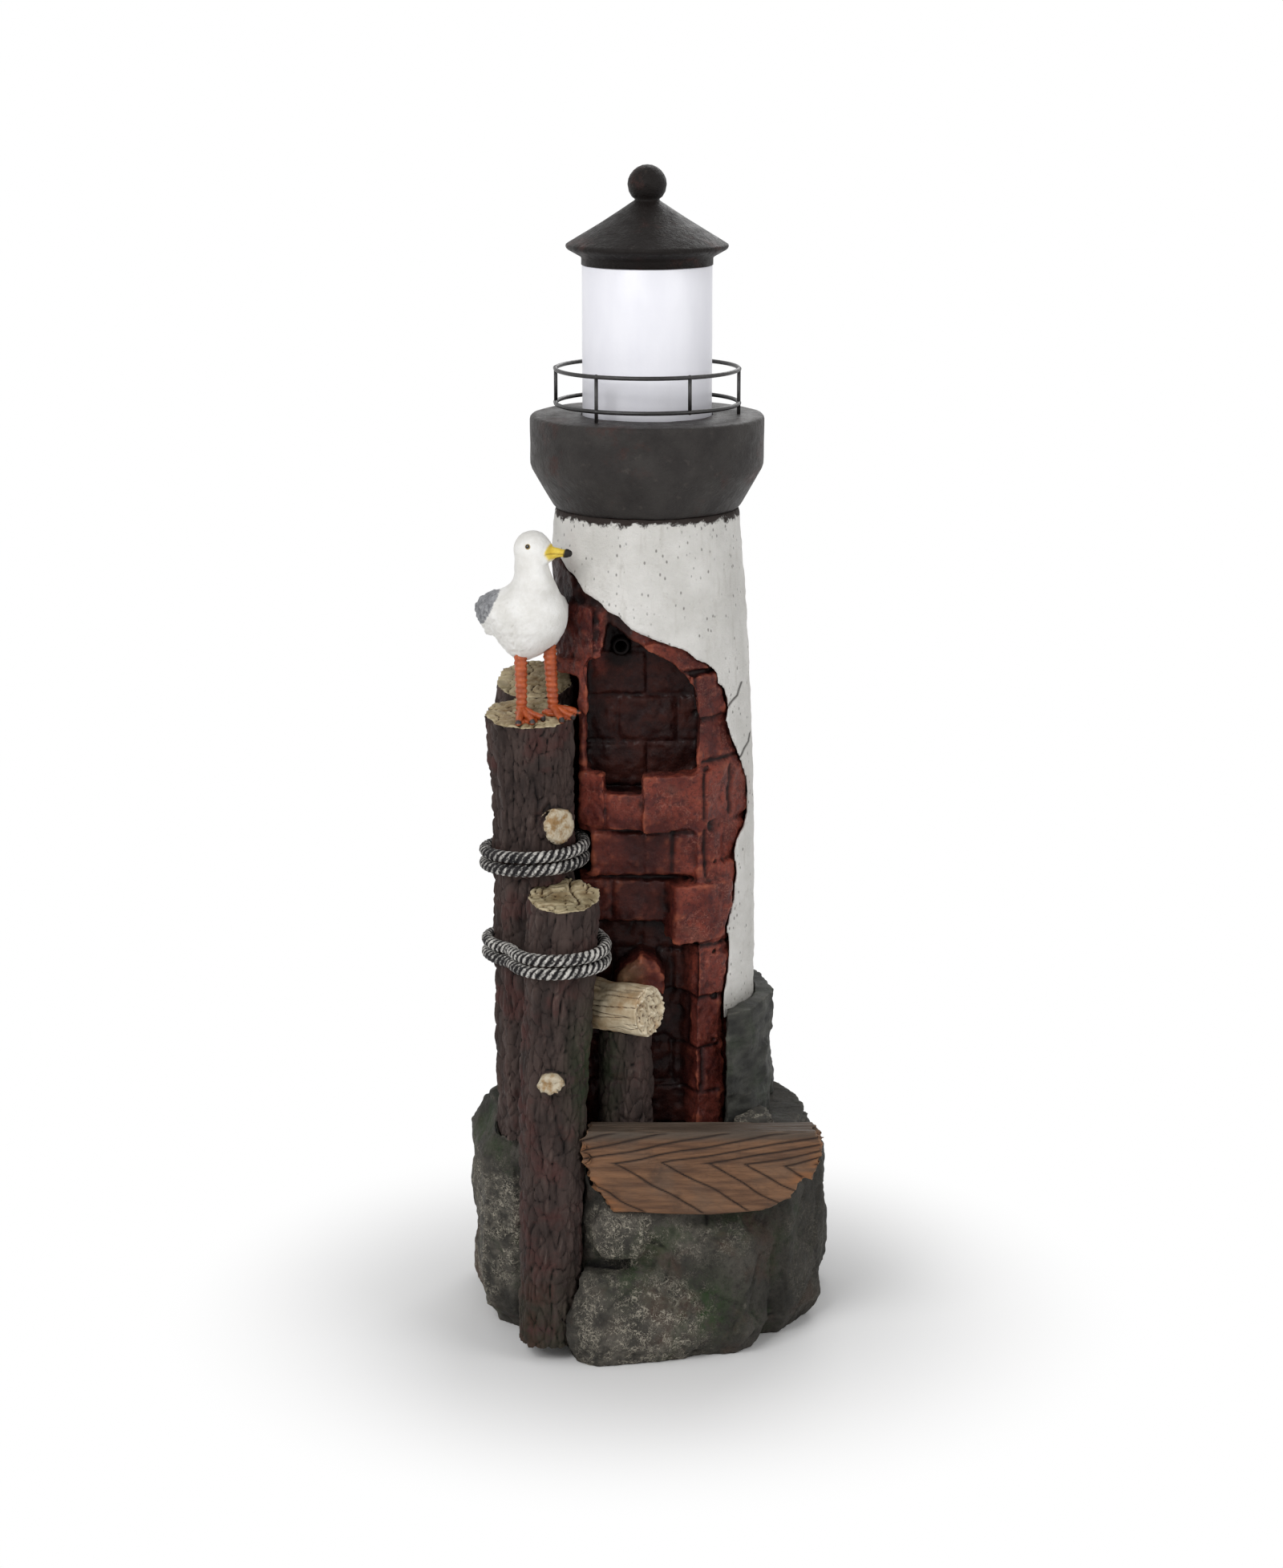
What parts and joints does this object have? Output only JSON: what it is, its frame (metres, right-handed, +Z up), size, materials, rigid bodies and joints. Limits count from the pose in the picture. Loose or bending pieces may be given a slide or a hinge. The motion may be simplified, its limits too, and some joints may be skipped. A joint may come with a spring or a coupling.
{
  "type": "lighthouse fountain",
  "caption": "Garden fountain shaped as a broken lighthouse tower on rocks: water falls from a brick niche over a catch pool to a basin; roof and lens lift off for the lamp.",
  "frame": {"origin": "point of the flat underside of the base on the tower axis", "axes": "+Z up along the tower axis, -Y towards the front with the brick niche, +X to the right of a viewer in front"},
  "size_m": [0.2915, 0.2704, 0.915],
  "materials": {
    "rock": "cast rock, dry-brushed",
    "plinth_stone": "cast stone",
    "stucco": "white stucco, weathered",
    "brick": "wet brick",
    "dark_metal": "dark textured paint",
    "wire": "black wire",
    "diffuser": "white diffuser",
    "bark": "cast bark, painted",
    "cut_wood": "cast sawn wood, painted",
    "rope": "cast rope, dry-brushed",
    "board": "cast plank, painted",
    "gull": "cast and painted white and grey",
    "gull_leg": "painted orange",
    "rubber": "matt",
    "black_plastic": "moulded",
    "board_green": "white coated lamp board",
    "led": "clear domes",
    "rotor": "moulded magnet rotor",
    "ceramic_pin": "ground",
    "hose": "flexible",
    "steel": "spring steel"
  },
  "bodies": {
    "fountain": {"rock_base": "rock", "tower_plinth": "plinth_stone", "tower_shell": "stucco", "brick_cascade": "brick", "gallery_collar": "dark_metal", "gallery_railing": "wire", "lantern_seal": "rubber", "lamp_holder": "black_plastic", "lamp_board": "board_green", "lamp_leds": "led", "post_mid": "bark", "post_gull": "bark", "post_rear": "bark", "post_short": "bark", "log_stub": "cut_wood", "rope_upper": "rope", "rope_lower": "rope", "weir_board": "board", "gull_body": "gull", "gull_legs": "gull_leg", "pump_housing": "black_plastic", "impeller_shaft": "ceramic_pin", "suction_cups": "rubber", "riser_hose": "hose", "hose_clamp": "steel", "spout": "black_plastic", "cord_grommet": "rubber"},
    "lantern": {"lantern_lens": "diffuser"},
    "roof": {"roof_cap": "dark_metal"},
    "door": {"access_door": "plinth_stone"},
    "stopper": {"drain_plug": "rubber"},
    "intake": {"pump_cover": "black_plastic"},
    "dial": {"flow_dial": "black_plastic"},
    "rotor": {"impeller": "rotor"}
  },
  "joints": [
    {"name": "lens_lift", "type": "slide", "parent": "fountain", "child": "lantern", "axis": [0, 0, 1], "range_m": [0, 0.03]},
    {"name": "roof_lift", "type": "slide", "parent": "lantern", "child": "roof", "axis": [0, 0, 1], "range_m": [0, 0.05]},
    {"name": "door_pull", "type": "slide", "parent": "fountain", "child": "door", "axis": [0, 1, 0], "range_m": [0, 0.05]},
    {"name": "drain_pull", "type": "slide", "parent": "fountain", "child": "stopper", "axis": [0, 1, 0], "range_m": [0, 0.04]},
    {"name": "intake_pull", "type": "slide", "parent": "fountain", "child": "intake", "axis": [0, -1, 0], "range_m": [0, 0.03]},
    {"name": "dial_turn", "type": "hinge", "parent": "intake", "child": "dial", "pos_m": [-0.02, 0.008, 0.042], "axis": [0, -1, 0], "range_deg": [0, 90]},
    {"name": "rotor_spin", "type": "hinge", "parent": "fountain", "child": "rotor", "pos_m": [-0.02, 0.022, 0.042], "axis": [0, 1, 0], "continuous": true}
  ]
}
